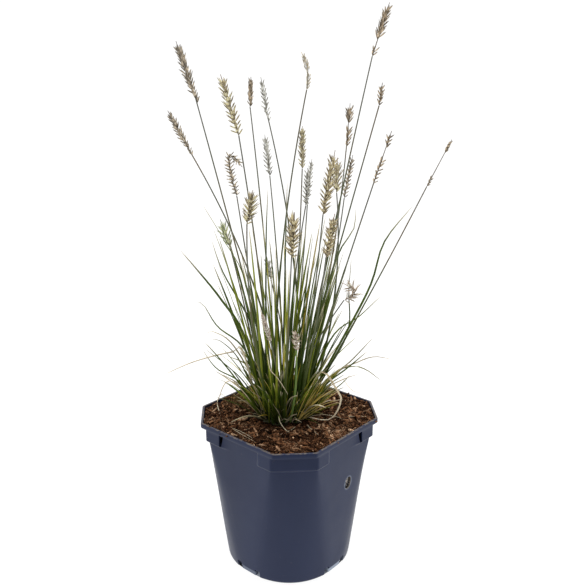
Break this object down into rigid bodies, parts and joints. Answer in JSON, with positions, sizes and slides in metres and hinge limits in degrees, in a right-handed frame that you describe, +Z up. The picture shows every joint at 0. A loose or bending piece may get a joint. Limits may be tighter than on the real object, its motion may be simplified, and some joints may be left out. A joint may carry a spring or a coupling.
{
  "type": "potted ornamental grass",
  "caption": "Clump of fine arching grass leaves with slender stalks and loose, bristly seed heads, in an eight-sided tapering plastic nursery pot of bark soil.",
  "frame": {"origin": "centre of the flat underside of the pot, on the surface that it stands on", "axes": "+Z up along the plant and the pot's axis, X and Y square to the pot's long flat sides"},
  "size_m": [0.2032, 0.2057, 0.543],
  "materials": {
    "pot_plastic": "satin dark blue-grey moulded plastic",
    "soil": "loose reddish-brown bark and peat, matt",
    "leaf": "narrow green grass leaves, some dry and straw coloured, slightly glossy",
    "stalk": "thin grey-green to olive stems, satin",
    "seed_head": "dry tan to grey-brown florets, matt"
  },
  "bodies": {
    "root": {"pot": "pot_plastic", "soil": "soil", "leaf_tuft": "leaf", "stalk_01": "stalk", "stalk_02": "stalk", "stalk_03": "stalk", "stalk_04": "stalk", "stalk_05": "stalk", "stalk_06": "stalk", "stalk_07": "stalk", "stalk_08": "stalk", "stalk_09": "stalk", "stalk_10": "stalk", "stalk_11": "stalk", "stalk_12": "stalk", "stalk_13": "stalk", "stalk_14": "stalk", "stalk_15": "stalk", "stalk_16": "stalk", "stalk_17": "stalk", "stalk_18": "stalk", "stalk_19": "stalk", "stalk_20": "stalk", "stalk_21": "stalk", "stalk_22": "stalk", "stalk_23": "stalk", "stalk_24": "stalk", "stalk_25": "stalk", "stalk_26": "stalk", "stalk_27": "stalk", "seed_head_01": "seed_head", "seed_head_02": "seed_head", "seed_head_03": "seed_head", "seed_head_04": "seed_head", "seed_head_05": "seed_head", "seed_head_06": "seed_head", "seed_head_07": "seed_head", "seed_head_08": "seed_head", "seed_head_09": "seed_head", "seed_head_10": "seed_head", "seed_head_11": "seed_head", "seed_head_12": "seed_head", "seed_head_13": "seed_head", "seed_head_14": "seed_head", "seed_head_15": "seed_head", "seed_head_16": "seed_head", "seed_head_17": "seed_head", "seed_head_18": "seed_head", "seed_head_19": "seed_head", "seed_head_20": "seed_head", "seed_head_21": "seed_head", "seed_head_22": "seed_head", "seed_head_23": "seed_head", "seed_head_24": "seed_head", "seed_head_25": "seed_head", "seed_head_26": "seed_head", "seed_head_27": "seed_head"}
  },
  "joints": []
}
